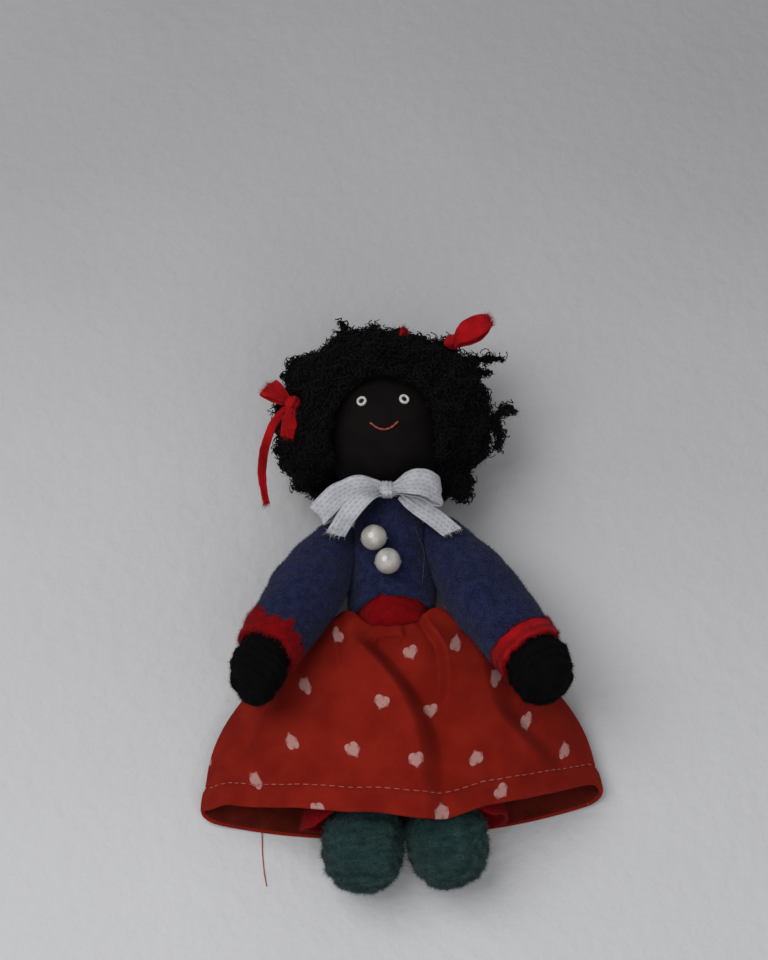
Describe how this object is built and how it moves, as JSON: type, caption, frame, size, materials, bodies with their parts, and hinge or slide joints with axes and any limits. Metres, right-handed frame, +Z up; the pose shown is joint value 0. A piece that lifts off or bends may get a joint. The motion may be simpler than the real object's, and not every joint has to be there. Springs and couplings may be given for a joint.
{
  "type": "cloth rag doll",
  "caption": "Small handmade cloth doll lying on its back, with curly wool hair, felt jacket, gathered printed skirt, ribbon bow and wired limbs that turn at neck, shoulders and hips.",
  "frame": {"origin": "on the floor under the middle of the jacket's back, where the doll's back lies flat", "axes": "+Z up out of the chest, +Y from the feet to the head, +X to the doll's left"},
  "size_m": [0.0746, 0.1121, 0.0301],
  "materials": {
    "wadding": "loose off-white stuffing",
    "wire": "soft steel craft wire",
    "red_felt": "matt red felt",
    "navy_felt": "matt navy felt with a short nap",
    "printed_cotton": "brick-red cotton with a small cream heart print",
    "white_ribbon": "open woven white ribbon",
    "pearl": "pearlescent ivory",
    "white_thread": "embroidery thread",
    "coral_thread": "embroidery thread",
    "brown_cloth": "smooth deep brown cloth",
    "brown_pile": "short dark brown pile",
    "wool": "black curly wool",
    "red_ribbon": "red woven ribbon with frayed ends",
    "teal_felt": "brushed teal felt"
  },
  "bodies": {
    "torso": {"stuffed_body": "wadding", "spine_wire": "wire", "red_shirt": "red_felt", "jacket": "navy_felt", "skirt": "printed_cotton", "neck_band": "white_ribbon", "bow_knot": "white_ribbon", "left_bow_loop": "white_ribbon", "right_bow_loop": "white_ribbon", "left_bow_tail": "white_ribbon", "right_bow_tail": "white_ribbon", "upper_pearl_button": "pearl", "upper_button_thread": "white_thread", "lower_pearl_button": "pearl", "lower_button_thread": "white_thread"},
    "head": {"head_stuffing": "wadding", "face_cloth": "brown_cloth", "neck_binding": "brown_cloth", "left_eye": "white_thread", "right_eye": "white_thread", "mouth": "coral_thread", "hair": "wool", "right_ribbon_knot": "red_ribbon", "right_ribbon_loop": "red_ribbon", "right_ribbon_short_tail": "red_ribbon", "right_ribbon_long_tail": "red_ribbon", "left_ribbon_knot": "red_ribbon", "left_ribbon_loop": "red_ribbon"},
    "left_arm": {"left_sleeve": "navy_felt", "left_arm_stuffing": "wadding", "left_arm_wire": "wire", "left_cuff": "red_ribbon", "left_hand": "brown_pile"},
    "right_arm": {"right_sleeve": "navy_felt", "right_arm_stuffing": "wadding", "right_arm_wire": "wire", "right_cuff": "red_ribbon", "right_hand": "brown_pile"},
    "left_leg": {"left_leg_stuffing": "wadding", "left_leg_wire": "wire", "left_trouser_leg": "red_felt", "left_boot": "teal_felt"},
    "right_leg": {"right_leg_stuffing": "wadding", "right_leg_wire": "wire", "right_trouser_leg": "red_felt", "right_boot": "teal_felt"}
  },
  "joints": [
    {"name": "neck_turn", "type": "hinge", "parent": "torso", "child": "head", "pos_m": [0, 0.0147, 0.0118], "axis": [0, 0.9848, 0.1736], "range_deg": [-25, 25]},
    {"name": "left_shoulder", "type": "hinge", "parent": "torso", "child": "left_arm", "pos_m": [0.0104, 0.0074, 0.0096], "axis": [0, 0, 1], "range_deg": [0, 50]},
    {"name": "right_shoulder", "type": "hinge", "parent": "torso", "child": "right_arm", "pos_m": [-0.0104, 0.0074, 0.0096], "axis": [0, 0, -1], "range_deg": [0, 50]},
    {"name": "left_hip", "type": "hinge", "parent": "torso", "child": "left_leg", "pos_m": [0.0048, -0.0144, 0.0085], "axis": [0, 0, 1], "range_deg": [0, 12]},
    {"name": "right_hip", "type": "hinge", "parent": "torso", "child": "right_leg", "pos_m": [-0.0048, -0.0144, 0.0085], "axis": [0, 0, -1], "range_deg": [0, 12]}
  ]
}
